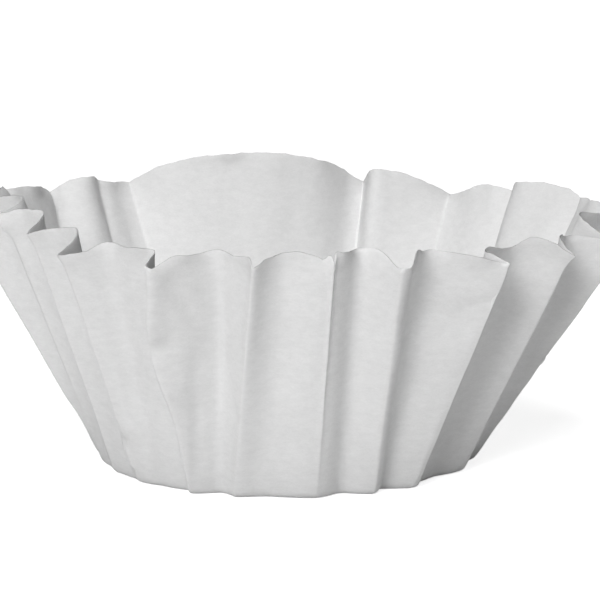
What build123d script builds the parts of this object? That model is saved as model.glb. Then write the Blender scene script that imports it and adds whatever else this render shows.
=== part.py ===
from build123d import *
import os
from collections import namedtuple
from math import cos, radians, sin, sqrt

# A basket coffee filter: one disc of thin crepe paper, pressed into a flat round bottom
# and a wall of fluted pleats. Millimetres, +Z up, the origin at the middle of the bottom.

# Driving dimensions
base_radius = 41.3      # flat bottom, 3 1/4 in across
wall_length = 63.5      # slant height along the paper, bottom edge to cut edge
press_shift = 1.4       # how far the bottom was pressed off the middle of the sheet
rim_radius = 73.0       # the outer folds at the cut edge, on average
pleat_depth = 5.0       # how far an ordinary fold stands out from the panel beside it
foot_stand = 1.2        # how far the foot of a fold stands outside the flat bottom
foot_share = 0.3        # how much of each flank's width is left at the bottom edge
panel_strips = 6        # straight strips that make up the curve of each panel
paper = 0.2             # thickness of the sheet

flat_radius = base_radius + wall_length     # the sheet before it was pressed
top_height = wall_length + press_shift      # higher than any of the wall can reach

# One row for each outer fold, in order round the wall, with bearing 0 at the front and 90
# to the right. foot and tip are its bearings at the bottom edge and at the cut edge. left
# and right are the widths of its two flanks in degrees. The rest counts in pleat depths:
# out is how far the tip stands beyond the rim radius, and the drops how far each flank
# falls back from it. bow is how far the panel after it swells, or is hollow if under zero.
Pleat = namedtuple("Pleat", "foot tip out left left_drop right right_drop bow")
pleats = [
    Pleat(-170, -169, -2.4, 3.0, 0.1, 3.0, 0.1, 0.0),
    Pleat(-148, -148, 0.5, 3.5, 1.8, 2.5, 0.3, 0.0),
    Pleat(-132, -140, -0.1, 2.5, 0.1, 2.5, 0.5, 0.0),
    Pleat(-117, -129.5, 0.4, 4.0, 1.1, 8.0, 1.0, -0.1),
    Pleat(-103, -108, 0.2, 5.0, 0.9, 4.0, 1.3, -0.2),
    Pleat(-89, -85, -0.2, 5.0, 1.3, 4.0, 1.5, -0.2),
    Pleat(-76, -67, -1.6, 3.0, 1.2, 3.0, 0.5, -0.1),
    Pleat(-63, -50.4, -1.1, 6.5, 1.4, 4.0, 0.6, 0.1),
    Pleat(-51, -38.2, -0.2, 2.8, 1.7, 6.0, 1.1, 0.2),
    Pleat(-29, -21.4, 0.0, 1.0, 1.2, 6.0, 0.8, -0.5),
    Pleat(-11, -4.8, -0.1, 0.3, 0.8, 5.5, 0.8, -0.1),
    Pleat(9.4, 7.8, -0.1, 1.0, 0.6, 4.2, 1.0, -0.1),
    Pleat(28, 18.3, 0.1, 2.4, 0.9, 4.0, 1.0, -0.3),
    Pleat(43, 36.7, 0.4, 5.0, 0.7, 0.5, 1.4, 0.2),
    Pleat(69, 51.7, 0.3, 5.0, 1.0, 1.8, 0.9, -0.3),
    Pleat(81, 67.5, 0.8, 5.0, 1.1, 4.0, 2.3, 0.0),
    Pleat(93, 88, 1.1, 9.0, 1.7, 5.0, 1.6, -0.2),
    Pleat(106, 110, 0.8, 4.0, 1.2, 3.0, 0.8, 0.0),
    Pleat(121, 133.4, 0.5, 6.0, 1.2, 4.0, 0.1, 0.0),
    Pleat(142, 149.5, 1.7, 3.8, 0.8, 3.5, 1.1, 0.0),
    Pleat(163, 165.5, 1.2, 3.5, 2.0, 6.0, 2.3, 0.3),
]


def spot(bearing, radius):
    """Plan position from a bearing off the front and a distance from the axis."""
    return Vector(radius * sin(radians(bearing)), -radius * cos(radians(bearing)))


def level(steps):
    """Distance from the axis of something that many pleat depths beyond the rim radius."""
    return rim_radius + steps * pleat_depth


def cut_edge(bottom, rim_spot):
    """The point of the cut edge over a rim spot, for paper that leaves the bottom edge there."""
    slant = flat_radius - bottom.length + press_shift * bottom.Y / bottom.length
    return Vector(rim_spot.X, rim_spot.Y, sqrt(slant**2 - (rim_spot - bottom).length**2))


def flank(foot, tip_spot, back_spot):
    """Foot and cut edge of the crease at the back of a flank. It lies in one plane with the
    crease of the fold, as folded paper does, and comes closer to it towards the bottom."""
    tip, back = cut_edge(foot, tip_spot), cut_edge(foot, back_spot)
    along = (back - foot) * tip.Z - (tip - foot) * back.Z
    return foot + along.normalized() * (back_spot - tip_spot).length * foot_share, back


def fold_corners(pleat, following):
    """Foot and cut edge of each corner of the wall, from this fold to the next one: the fold,
    the back of its right flank, the lines across the panel, the back of the next left flank."""
    here, there = [spot(fold.tip, level(fold.out)) for fold in (pleat, following)]
    foot, next_foot = [spot(fold.foot, base_radius + foot_stand) for fold in (pleat, following)]
    start = spot(pleat.tip + pleat.right, level(pleat.out - pleat.right_drop))
    end = spot(following.tip - following.left, level(following.out - following.left_drop))
    right, left = flank(foot, here, start), flank(next_foot, there, end)
    bow = (start + end).normalized() * pleat.bow * pleat_depth
    panel = []
    for strip in range(1, panel_strips):
        share = strip / panel_strips
        swell = bow * (4 * share * (1 - share))
        bottom = right[0] + (left[0] - right[0]) * share + swell * foot_share
        panel.append((bottom, cut_edge(bottom, start + (end - start) * share + swell)))
    return [(foot, cut_edge(foot, here)), right, *panel, left]


wall_corners = []
for pleat, following in zip(pleats, pleats[1:] + pleats[:1]):
    wall_corners += fold_corners(pleat, following)


def corners(height):
    """Where the corners of the wall are at that height above the bottom."""
    return [bottom + (edge - bottom) * (height / edge.Z) for bottom, edge in wall_corners]


def inset(spots, amount):
    """The same outline moved in by that much, corner by corner."""
    moved = []
    for before, here, after in zip(spots[-1:] + spots[:-1], spots, spots[1:] + spots[:1]):
        inward = [Vector(-run.Y, run.X).normalized() for run in (here - before, after - here)]
        corner = inward[0] + inward[1]
        moved.append(here + corner * (amount / (1 + inward[0].dot(inward[1]))))
    return moved


def wall_faces(lower, upper):
    """Faces between the corners at two heights: flanks are flat, and the strips of a panel
    twist a little because its bottom runs round the circle."""
    per_fold = panel_strips + 2
    faces = []
    for count in range(len(lower)):
        after = (count + 1) % len(lower)
        if count % per_fold in (0, per_fold - 1):
            faces.append(Face(Wire.make_polygon([lower[count], lower[after], upper[after], upper[count]])))
        else:
            lines = [Edge.make_line(spots[count], spots[after]) for spots in (lower, upper)]
            faces.append(Face.make_surface_from_curves(*lines))
    return faces


# The inside is the same shape moved in by the paper's thickness, and starts that much higher,
# which leaves the bottom.
with BuildPart() as paper_filter:
    for side, mode in ((0, Mode.ADD), (paper, Mode.SUBTRACT)):
        lower, upper = [inset(corners(height), side) for height in (side, top_height)]
        ends = [Face(Wire.make_polygon(spots)) for spots in (lower, upper)]
        add(Solid(Shell(wall_faces(lower, upper) + ends)), mode=mode)

    # The cut edge lies one slant height from the bottom edge, whichever way the paper leans,
    # so the folds that lean out end lower. Cutting further back leaves the back wall longer.
    cut_shift = press_shift * wall_length / (rim_radius - base_radius)
    with BuildSketch(Plane.XZ.offset(-cut_shift)):
        with BuildLine():
            Polyline((base_radius, wall_length), (0, wall_length), (0, -paper), (flat_radius, -paper),
                     (flat_radius, 0))
            RadiusArc((flat_radius, 0), (base_radius, wall_length), -wall_length)
        make_face()
    revolve(axis=Axis((0, cut_shift, 0), (0, 0, 1)), mode=Mode.INTERSECT)

os.makedirs("parts", exist_ok=True)
paper_filter.part.label = "paper_filter"
export_step(paper_filter.part, "parts/paper_filter.step")
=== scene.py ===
from math import atan2, cos, exp, pi, radians, sin, sqrt

import bmesh
import bpy
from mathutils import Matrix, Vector, noise


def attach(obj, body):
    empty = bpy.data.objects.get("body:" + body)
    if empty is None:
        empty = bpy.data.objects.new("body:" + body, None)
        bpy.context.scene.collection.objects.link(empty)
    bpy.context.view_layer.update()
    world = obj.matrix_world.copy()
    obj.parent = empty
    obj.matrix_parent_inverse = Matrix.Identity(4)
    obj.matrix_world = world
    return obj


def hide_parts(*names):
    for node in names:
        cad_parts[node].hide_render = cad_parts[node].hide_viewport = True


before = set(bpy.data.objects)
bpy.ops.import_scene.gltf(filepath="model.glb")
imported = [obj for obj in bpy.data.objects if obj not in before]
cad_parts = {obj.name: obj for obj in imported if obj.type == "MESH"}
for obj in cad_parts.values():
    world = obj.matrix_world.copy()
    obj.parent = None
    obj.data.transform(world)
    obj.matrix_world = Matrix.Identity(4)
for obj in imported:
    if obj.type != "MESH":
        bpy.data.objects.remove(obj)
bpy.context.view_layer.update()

scene = bpy.context.scene
scene.view_settings.view_transform = "Standard"

# The photograph was taken with a long lens, half a metre from the filter and a little above
# its cut edge, looking down about nine degrees.
camera = bpy.data.objects.new("camera", bpy.data.cameras.new("camera"))
camera.data.lens = 144
camera.data.sensor_width = 36
camera.location = (0.00314, -0.5272, 0.1223)
camera.rotation_euler = (radians(90 - 9.38), 0, 0)
scene.collection.objects.link(camera)
scene.camera = camera


# The filter: one round sheet of thin white crepe paper, cut from the roll, pressed in a
# fluted mould into a flat round bottom and a pleated wall, and pulled a little out of shape
# when it was taken from the stack. Nothing holds the pleats but their creases.
mm = 0.001
base_radius = 41.3 * mm
wall_length = 63.5 * mm
press_shift = 1.4 * mm
rim_radius = 73 * mm
paper = 0.2 * mm
flank_share = 0.25          # 1 would give a flank as much of the bottom edge as its width asks
taken_up = 0.5              # the crepe stretches to take up this much of a foot's stand
edge_bend = 2.0 * mm        # the bottom edge bends over this far on each side

# Fold by fold round the wall, with bearing 0 at the front and 90 to the right: the bearing
# of its crease at the bottom edge, and how much of its depth is still there. Then the cut edge
# from its tip towards the next one, as bearings, distances from the axis, and how much longer
# the paper is there, in millimetres.
folds = [
    (-148, 0, [(-148, 74, -1.2), (-145.5, 73.8, -0.9), (-144, 72.8, -1.1), (-142.5, 72, -1.1)]),
    (-132, 0, [(-140, 72.5, 0), (-137.5, 70, 0), (-135.5, 69.4, 0), (-133.5, 69.8, 0)]),
    (-117, 0.1, [(-129.5, 75, 0), (-125.5, 71.6, 0), (-121.5, 70, 0), (-117.3, 69.3, 0),
                 (-113, 69.7, 0)]),
    (-103, 0.1, [(-108, 74, 0), (-104, 67.5, 0), (-97.1, 65, 0), (-90, 65.5, 0)]),
    (-89, 0.1, [(-85, 72, 0), (-81, 64.5, 0), (-75.7, 60.5, 0), (-70, 59, 0)]),
    (-76, 0.1, [(-67, 65, 0), (-64, 62.5, 0), (-60.5, 60.9, 0), (-57.3, 60.3, 0)]),
    (-63, 0.1, [(-50.4, 67.5, 0), (-46.4, 64.5, 0), (-43.7, 64, 0), (-41.2, 63.4, 0)]),
    (-48.5, 0.1, [(-38.2, 72, 0), (-34.9, 69.3, -0.8), (-32.1, 66.5, -0.4), (-27.5, 67.6, -0.4),
                  (-22.4, 67.4, -0.8)]),
    (-28.2, 0.3, [(-21.4, 73.8, 0.4), (-20.2, 73.2, -0.4), (-18, 71.2, 0.5), (-15.5, 68.3, -0.8),
                  (-13.2, 66, -1.4), (-11.4, 65.3, -1.3), (-8.5, 67.4, -1), (-6.5, 69.6, 0.3),
                  (-5.3, 71.3, 1.2)]),
    (-14.8, 0.45, [(-4.8, 72, 0), (-4, 71.5, 0.1), (-2.8, 70.1, 0.1), (-1.5, 68.7, -0.3),
                   (0.2, 68.1, 0), (2.6, 69.2, 0.6), (4.9, 70.6, 0.5), (6.2, 71.3, 0.2),
                   (7.2, 71.9, 1.4)]),
    (9, 0.6, [(7.8, 72.2, 0), (8.1, 72, 2), (9.2, 71.1, 1.3), (10.3, 69.7, 0.6),
              (11.3, 68.1, -0.3), (12.2, 66.8, -0.6), (13.3, 66.8, -0.6), (15.4, 69.4, 0.7),
              (16.9, 71.4, 0.1), (17.7, 72.6, -0.3)]),
    (26.2, 0.5, [(18.3, 73.4, 0), (19.8, 72.7, -0.3), (21.2, 71.2, 1.4), (22.5, 69.1, 0.4),
                 (23.6, 67.8, -0.9), (25, 67.5, -1.1), (27.5, 68.8, -0.8), (31, 71.3, -0.3),
                 (34.6, 73.8, -0.3), (36, 74.8, -0.1)]),
    (40.6, 0.4, [(36.7, 75.3, 0), (35.4, 72, 0), (34.7, 70.2, -0.3), (36, 68.9, -0.4),
                 (39, 67.5, -1.9), (42.5, 65.9, -2.9), (45.3, 65.5, -3.1), (47.5, 68, -0.2),
                 (49.5, 71.2, 0.4), (50.8, 73.2, 0)]),
    (66, 0.2, [(51.7, 74.4, 0), (52.6, 71.8, 0), (54.4, 70.2, 0), (58, 68.2, -0.7),
               (61.5, 66.8, -2.4), (64, 67.8, -2), (66.2, 72, -0.7)]),
    (81, 0.1, [(67.5, 77, 0), (71.5, 65.8, 0), (75.4, 67.4, 0), (79, 70, 0)]),
    (93, 0.1, [(88, 78.5, 0), (93, 70.5, 0), (99.5, 69.3, -1), (106, 71, -0.6)]),
    (106, 0, [(110, 77, -0.8), (113, 73, 0.4), (120, 70.7, 0.7), (127.4, 69.5, 0)]),
    (121, 0, [(133.4, 75.5, 0.3), (137.4, 75, 0.4), (141.6, 76.1, 0.6), (145.7, 77.5, -0.6)]),
    (142, 0, [(149.5, 79.4, -0.9), (153, 76, -0.3), (157.3, 72.3, 0), (161.6, 69, -1)]),
    (163, 0, [(165.5, 77.4, -0.4), (167.8, 75.2, 0), (173, 67.1, 0), (179.3, 63, 0),
              (186, 60.6, 0), (193, 60.8, 0), (201.6, 63, 0), (206.5, 65.8, -0.8)]),
]
spread = 0.85 * mm          # columns of the mesh are about this far apart at the cut edge
wall_rows = 52
bottom_rows = 6
bend_rows = 4
curl_from = 0.95            # the cut edge curls over what is left of the wall beyond this


def spot(bearing, radius):
    """Plan position from a bearing off the front and a distance from the axis."""
    return Vector((radius * sin(radians(bearing)), -radius * cos(radians(bearing)), 0))


def through(spots, step):
    """Points about a step apart on a smooth line through the spots, closer at its ends. The
    line is a centripetal Catmull-Rom spline, which makes no loops beside a sharp tip."""
    parts_per_span, closer_at_ends, fewest = 24, 0.08, 6
    ends = [spots[0] * 2 - spots[1]] + spots + [spots[-1] * 2 - spots[-2]]
    dense = []
    for before, here, after, beyond in zip(ends, ends[1:], ends[2:], ends[3:]):
        knots = [0]
        for a, b in ((before, here), (here, after), (after, beyond)):
            knots.append(knots[-1] + sqrt((b - a).length))
        for part in range(parts_per_span):
            t = knots[1] + (knots[2] - knots[1]) * part / parts_per_span
            a = before.lerp(here, (t - knots[0]) / (knots[1] - knots[0]))
            b = here.lerp(after, (t - knots[1]) / (knots[2] - knots[1]))
            c = after.lerp(beyond, (t - knots[2]) / (knots[3] - knots[2]))
            d = a.lerp(b, (t - knots[0]) / (knots[2] - knots[0]))
            e = b.lerp(c, (t - knots[1]) / (knots[3] - knots[1]))
            dense.append(d.lerp(e, (t - knots[1]) / (knots[2] - knots[1])))
    dense.append(spots[-1])
    gone = [0]
    for a, b in zip(dense, dense[1:]):
        gone.append(gone[-1] + (b - a).length)
    count = max(fewest, round(gone[-1] / step))
    line, k = [], 0
    for part in range(count):
        share = part / count
        want = (share - closer_at_ends * sin(2 * pi * share)) * gone[-1]
        while gone[k + 1] < want:
            k += 1
        line.append(dense[k].lerp(dense[k + 1], (want - gone[k]) / (gone[k + 1] - gone[k])))
    return line


# The cut edge as seen from above, and how each stretch between two folds shares out its part
# of the bottom edge. A flank that stands on edge narrows to almost nothing down there.
columns = []
following = folds[1:] + folds[:1]
for (foot, deep, knots), (next_foot, next_deep, next_knots) in zip(folds, following):
    if next_foot < foot:
        next_foot += 360
    rim_spots = [spot(bearing, radius * mm) + Vector((0, 0, longer * mm))
                 for bearing, radius, longer in knots + next_knots[:1]]
    line = through(rim_spots, spread)
    runs = []
    for here, after in zip(line, line[1:] + rim_spots[-1:]):
        onward = here.xy.angle_signed(after.xy) * -rim_radius
        runs.append(flank_share * (after - here).length + (1 - flank_share) * max(0, onward))
    for count, here in enumerate(line):
        share = sum(runs[:count]) / sum(runs)
        columns.append((foot + (next_foot - foot) * share, deep + (next_deep - deep) * share,
                        here))

# The pleats reach down to the bottom edge, so a fold's foot stands a little outside the circle
# and the foot of a valley a little inside it. Each is measured from the mean of the columns
# around it.
around_mean = 28
furthest_out, furthest_in = 1.3 * mm, 2.4 * mm
feet = []
for count, (foot, deep, here) in enumerate(columns):
    near = range(count - around_mean, count + around_mean + 1)
    mean = sum(columns[k % len(columns)][2].xy.length for k in near) / len(near)
    stands_out = deep * (here.xy.length - mean)
    feet.append(spot(foot, base_radius + min(furthest_out, max(-furthest_in, stands_out))))


def folded(column, distance):
    """Where the point of the flat sheet at that column and distance from the middle lies."""
    foot, _, rim_spot = columns[column]
    bottom = feet[column]
    stands_out = bottom.length - base_radius
    slant = wall_length + rim_spot.z - press_shift * cos(radians(foot))
    slant -= (1 - taken_up) * stands_out
    run = Vector((rim_spot.x, rim_spot.y, 0)) - bottom
    wall = run + Vector((0, 0, sqrt(slant**2 - run.length**2)))
    up = distance - base_radius
    if abs(up) < edge_bend:
        turn = (up / edge_bend + 1) / 2
        before = bottom * (1 - edge_bend / base_radius)
        after = bottom + wall * (edge_bend / wall_length)
        return before * (1 - turn)**2 + bottom * (2 * turn * (1 - turn)) + after * turn**2
    if up <= 0:
        return bottom * (distance / base_radius)
    # The cut edge is a little ragged, and the last of the wall below it curls in and out.
    share = up / wall_length
    ragged = 0.35 * noise.noise(rim_spot / (6 * mm)) + 0.25 * noise.noise(rim_spot / (1.7 * mm))
    curl = 2.2 * noise.noise(rim_spot / (7 * mm) + Vector((4, 1, 6))) * mm
    return (bottom + wall * (share + ragged * mm / wall_length * share**12)
            + run.normalized() * curl * max(0, share - curl_from) / (1 - curl_from))


sheet = bpy.data.objects.new("pleated_paper", bpy.data.meshes.new("pleated_paper"))
scene.collection.objects.link(sheet)
disc = bmesh.new()
flat_part, wall_part = base_radius - edge_bend, wall_length - edge_bend
reach = [flat_part * (k + 1) / bottom_rows for k in range(bottom_rows)]
reach += [flat_part + 2 * edge_bend * (k + 1) / bend_rows for k in range(bend_rows)]
reach += [base_radius + edge_bend + wall_part * (k + 1) / wall_rows for k in range(wall_rows)]
radius_line = [disc.verts.new((0, -distance, 0)) for distance in [0] + reach]
for pair in zip(radius_line, radius_line[1:]):
    disc.edges.new(pair)
bmesh.ops.spin(disc, geom=disc.verts[:] + disc.edges[:], cent=(0, 0, 0), axis=(0, 0, 1),
               angle=2 * pi, steps=len(columns), use_merge=True)
bmesh.ops.remove_doubles(disc, verts=disc.verts, dist=1e-6)
foot_layer = disc.verts.layers.float.new("foot")
reach_layer = disc.verts.layers.float.new("reach")
for vert in disc.verts:
    distance = vert.co.xy.length
    if distance < 1e-5:
        continue
    turn = atan2(vert.co.x, -vert.co.y) / (2 * pi)
    column = round(turn * len(columns)) % len(columns)
    vert[foot_layer] = columns[column][0]
    vert[reach_layer] = distance
    vert.co = folded(column, distance)
bmesh.ops.recalc_face_normals(disc, faces=disc.faces)

# Between the foot and the cut edge the creases are a little rounded.
rounded = [vert for vert in disc.verts
           if base_radius + 5 * mm < vert[reach_layer] < base_radius + wall_length - 0.5 * mm]
for _ in range(3):
    bmesh.ops.smooth_vert(disc, verts=rounded, factor=0.5, use_axis_x=True, use_axis_y=True,
                          use_axis_z=True)

# Where the paper was pushed in or stands out. Each row is a bearing at the bottom edge and a
# height up the wall, how far the push reaches across and up, and how far it moves the paper
# out and to the right, in millimetres.
pushes = [
    (-28, 42, 5.0, 14, 1.1, -2.3),
    (-20, 40, 4.0, 16, -1.3, 0),
    (-27, 42, 2.2, 2.6, -1.0, 0),
    (-26, 31, 3.5, 5.0, 0.9, 0),
    (-88, 10, 10, 5.0, -0.4, 0),
    (-45, 17, 3.0, 4.0, 0.5, 0),
    (2, 26, 4.0, 8.0, 0.3, 0),
    (38, 48, 3.5, 5.0, -0.5, 0),
    (33, 40, 2.5, 7.0, 0.4, 0),
    (-103, 60, 4.0, 5.0, 1.6, 1.0),
    (-95, 61, 3.5, 4.0, -1.8, -1.2),
    (-89, 61, 3.0, 2.5, 1.2, -1.5),
    (-82, 61.5, 3.0, 2.5, -1.5, 1.2),
    (-76, 61, 2.5, 2.5, 1.4, 1.0),
    (-117, 61, 4.0, 4.0, -1.6, 1.0),
]
# Sharp little folds across the wall: from one bearing and height to another, how wide the
# fold is on each side of its line, and how far its line stands out, or lies in if under zero.
wrinkles = [
    (-50.6, 15.5, -48.4, 4.5, 1.1, 0.80),
    (-49.6, 13.0, -46.8, 12.0, 0.9, -0.60),
    (-47.9, 22.0, -44.5, 24.5, 1.2, 0.30),
    (-50.4, 16.5, -47.9, 22.0, 1.2, 0.30),
    (-25.5, 60, -23.0, 45, 1.8, -0.40),
    (-23.0, 45, -25.5, 5, 1.8, -0.45),
    (-28.5, 5.5, -27.0, 3.5, 0.7, 0.35),
    (-29.5, 3.5, -27.5, 5.0, 0.7, -0.30),
    (-8.2, 1.5, -4.6, 12.0, 1.0, 0.35),
    (36.5, 49.5, 44.0, 58.0, 2.0, -0.35),
    (31.0, 52.0, 39.5, 44.0, 2.4, -0.30),
    (9.0, 61.5, 10.2, 63.3, 0.8, 0.45),
    (27.6, 60.5, 28.8, 63.0, 0.8, 0.45),
    (-37.0, 44.0, -31.5, 38.5, 1.0, 0.35),
    (-35.5, 39.5, -30.5, 41.5, 1.0, -0.40),
]


def on_flat(bearing, distance):
    """Where that point of the sheet lay before it was folded, in plan."""
    return Vector((distance * sin(radians(bearing)), distance * cos(radians(bearing))))


furthest_away = 40          # a push has no effect beyond this bearing from its middle
disc.normal_update()
moves = {}
for vert in disc.verts:
    foot, distance = vert[foot_layer], vert[reach_layer]
    up = (distance - base_radius) / mm
    out = pushed = right = 0
    for foot_0, up_0, across, high, push_out, push_right in pushes:
        away = (foot - foot_0 + 180) % 360 - 180
        if abs(away) < furthest_away and abs(up - up_0) < 3 * high:
            off = (radians(away) * distance / mm / across) ** 2 + ((up - up_0) / high) ** 2
            pushed += push_out * exp(-off)
            right += push_right * exp(-off)
    here = on_flat(foot, distance) / mm
    for foot_1, up_1, foot_2, up_2, width, depth in wrinkles:
        a = on_flat(foot_1, base_radius + up_1 * mm) / mm
        b = on_flat(foot_2, base_radius + up_2 * mm) / mm
        along = (here - a).dot(b - a) / (b - a).length_squared
        if -0.5 < along < 1.5:
            nearest = a.lerp(b, min(1, max(0, along)))
            gap = (here - nearest).length / width
            taper = 1 - (2 * min(1, max(0, along)) - 1) ** 4
            out += depth * max(0, 1 - gap) * taper
    # The paper is uneven at three scales, all of them fading out over the lowest 12 mm.
    if up > 0:
        uneven = min(1, up / 12)
        flat_spot = Vector((here.x, here.y, 0))
        out += uneven * 0.30 * noise.noise(flat_spot / 17)
        out += uneven * 0.12 * noise.noise(flat_spot / 6 + Vector((9, 4, 0)))
        out += uneven * 0.05 * noise.noise(flat_spot / 2.6 + Vector((3, 8, 0)))
    outward = Vector((sin(radians(foot)), -cos(radians(foot)), -0.5)).normalized()
    sideways = Vector((cos(radians(foot)), sin(radians(foot)), 0))
    moves[vert] = (vert.normal * out + outward * pushed + sideways * right) * mm
for vert, move in moves.items():
    vert.co += move
    vert.co.z = max(0, vert.co.z)

for face in disc.faces:
    face.smooth = True
disc.to_mesh(sheet.data)
disc.free()

thickness = sheet.modifiers.new("thickness", "SOLIDIFY")
thickness.thickness = paper
thickness.offset = -1

# The cut edge is a bare cut: it takes no part of the wall's shading.
flat_edge = sheet.modifiers.new("flat_edge", "WEIGHTED_NORMAL")
flat_edge.weight = 100

# The paper is matt, with cloudy fibres and a fine crepe grain that runs across the wall.
white = bpy.data.materials.new("white_crepe_paper")
white.use_nodes = True
nodes, links = white.node_tree.nodes, white.node_tree.links
surface = nodes["Principled BSDF"]
surface.inputs["Roughness"].default_value = 0.9
surface.inputs["Specular IOR Level"].default_value = 0.3
place = nodes.new("ShaderNodeTexCoord")
lying = nodes.new("ShaderNodeMapping")
lying.inputs["Scale"].default_value = (1, 1, 2)
links.new(place.outputs["Object"], lying.inputs["Vector"])


def grain(scale, detail, roughness):
    """A noise in the sheet's own place, a little longer across the wall than up it."""
    node = nodes.new("ShaderNodeTexNoise")
    node.inputs["Scale"].default_value = scale
    node.inputs["Detail"].default_value = detail
    node.inputs["Roughness"].default_value = roughness
    links.new(lying.outputs["Vector"], node.inputs["Vector"])
    return node.outputs["Fac"]


clouds = grain(420, 5, 0.62)
fibres = grain(1900, 3, 0.6)
mixed = nodes.new("ShaderNodeMix")
mixed.inputs["Factor"].default_value = 0.4
links.new(clouds, mixed.inputs[2])
links.new(fibres, mixed.inputs[3])
tone = nodes.new("ShaderNodeValToRGB")
tone.color_ramp.elements[0].position = 0.34
tone.color_ramp.elements[0].color = (0.695, 0.695, 0.695, 1)
tone.color_ramp.elements[1].position = 0.66
tone.color_ramp.elements[1].color = (0.77, 0.77, 0.77, 1)
links.new(mixed.outputs[0], tone.inputs["Fac"])
links.new(tone.outputs["Color"], surface.inputs["Base Color"])
crepe = nodes.new("ShaderNodeBump")
crepe.inputs["Strength"].default_value = 0.5
crepe.inputs["Distance"].default_value = 0.00014
links.new(mixed.outputs[0], crepe.inputs["Height"])
links.new(crepe.outputs["Normal"], surface.inputs["Normal"])
sheet.data.materials.append(white)

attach(sheet, "root")
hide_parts("paper_filter")


# The studio: a white sweep under and behind, a large soft light a little left of the camera,
# another high overhead, a weak one low on the right, and a weak even light from all round.
sweep = bpy.data.objects.new("sweep", bpy.data.meshes.new("sweep"))
scene.collection.objects.link(sweep)
ground = bmesh.new()
bmesh.ops.create_grid(ground, x_segments=1, y_segments=1, size=12)
ground.to_mesh(sweep.data)
ground.free()
sweep_paint = bpy.data.materials.new("white_sweep")
sweep_paint.use_nodes = True
paint = sweep_paint.node_tree.nodes["Principled BSDF"]
paint.inputs["Base Color"].default_value = (0.8, 0.8, 0.8, 1)
paint.inputs["Roughness"].default_value = 0.9
nodes, links = sweep_paint.node_tree.nodes, sweep_paint.node_tree.links
ray = nodes.new("ShaderNodeLightPath")
paint.inputs["Emission Color"].default_value = (1, 1, 1, 1)
ground_place = nodes.new("ShaderNodeTexCoord")
away = nodes.new("ShaderNodeVectorMath")
away.operation = "LENGTH"
links.new(ground_place.outputs["Object"], away.inputs[0])
# Near the filter its shadow shows, and further off the sweep goes over into plain white.
fade = nodes.new("ShaderNodeMapRange")
fade.inputs["From Min"].default_value = 0.3
fade.inputs["From Max"].default_value = 1.5
fade.inputs["To Min"].default_value = 0.80
fade.inputs["To Max"].default_value = 1.0
links.new(away.outputs["Value"], fade.inputs["Value"])
lift = nodes.new("ShaderNodeMath")
lift.operation = "MULTIPLY"
links.new(fade.outputs["Result"], lift.inputs[1])
links.new(ray.outputs["Is Camera Ray"], lift.inputs[0])
links.new(lift.outputs["Value"], paint.inputs["Emission Strength"])
sweep.data.materials.append(sweep_paint)


def soft_light(name, bearing, height, distance, size, power):
    """A square lamp that looks at the filter, from a bearing and an angle above the ground."""
    lamp = bpy.data.objects.new(name, bpy.data.lights.new(name, "AREA"))
    lamp.data.size = size
    lamp.data.energy = power
    flat_distance = distance * cos(radians(height))
    lamp.location = spot(bearing, flat_distance) + Vector((0, 0, distance * sin(radians(height))))
    towards = Vector((0, 0, 0.03)) - lamp.location
    lamp.rotation_euler = towards.to_track_quat("-Z", "Y").to_euler()
    scene.collection.objects.link(lamp)


soft_light("key", -17, 27, 1.2, 0.4, 8.9)
soft_light("overhead", -20, 74, 1.2, 0.5, 5.7)
soft_light("low_fill", 70, 4, 1.2, 0.5, 0.6)

world = bpy.data.worlds.new("studio")
scene.world = world
world.use_nodes = True
nodes, links = world.node_tree.nodes, world.node_tree.links
around = nodes["Background"]
around.inputs["Color"].default_value = (1, 1, 1, 1)
around.inputs["Strength"].default_value = 0.10
seen = nodes.new("ShaderNodeBackground")
seen.inputs["Color"].default_value = (1, 1, 1, 1)
ray = nodes.new("ShaderNodeLightPath")
choose = nodes.new("ShaderNodeMixShader")
links.new(ray.outputs["Is Camera Ray"], choose.inputs["Fac"])
links.new(around.outputs["Background"], choose.inputs[1])
links.new(seen.outputs["Background"], choose.inputs[2])
links.new(choose.outputs["Shader"], nodes["World Output"].inputs["Surface"])
